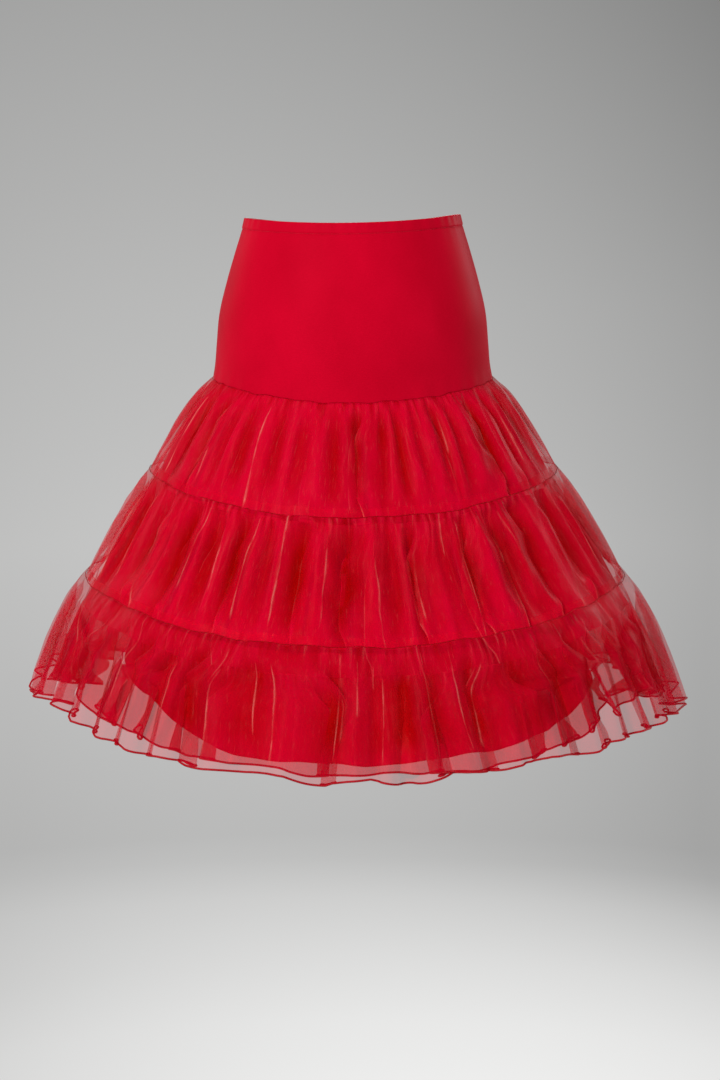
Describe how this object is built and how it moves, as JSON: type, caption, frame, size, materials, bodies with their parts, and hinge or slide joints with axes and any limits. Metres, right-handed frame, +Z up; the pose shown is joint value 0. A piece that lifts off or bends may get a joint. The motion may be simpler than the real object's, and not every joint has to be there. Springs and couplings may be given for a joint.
{
  "type": "tiered petticoat skirt",
  "caption": "Knee-length petticoat skirt: close stretch yoke over gathered tiers of sheer organza in outer and inner layers, with an A-line lining, in worn shape.",
  "frame": {"origin": "centre of the waist opening, at the height of its top edge at the side seams", "axes": "+Z up out of the waist, +X to the left side of a wearer (the right of a front view), -Y the front"},
  "size_m": [0.8163, 0.7196, 0.5861],
  "materials": {
    "stretch_knit": "smooth stretch satin knit with a soft sheen",
    "lining_satin": "opaque plain lining, softly satin",
    "organza": "sheer crisp organza with bright glints along its creases and a rolled hem"
  },
  "bodies": {
    "root": {"yoke_front": "stretch_knit", "yoke_back": "stretch_knit", "lining_front": "lining_satin", "lining_back": "lining_satin", "outer_upper_tier_front": "organza", "outer_upper_tier_back": "organza", "outer_middle_tier_front": "organza", "outer_middle_tier_back": "organza", "outer_hem_tier_front": "organza", "outer_hem_tier_back": "organza", "inner_upper_tier_front": "organza", "inner_upper_tier_back": "organza", "inner_middle_tier_front": "organza", "inner_middle_tier_back": "organza", "inner_hem_tier_front": "organza", "inner_hem_tier_back": "organza"}
  },
  "joints": []
}
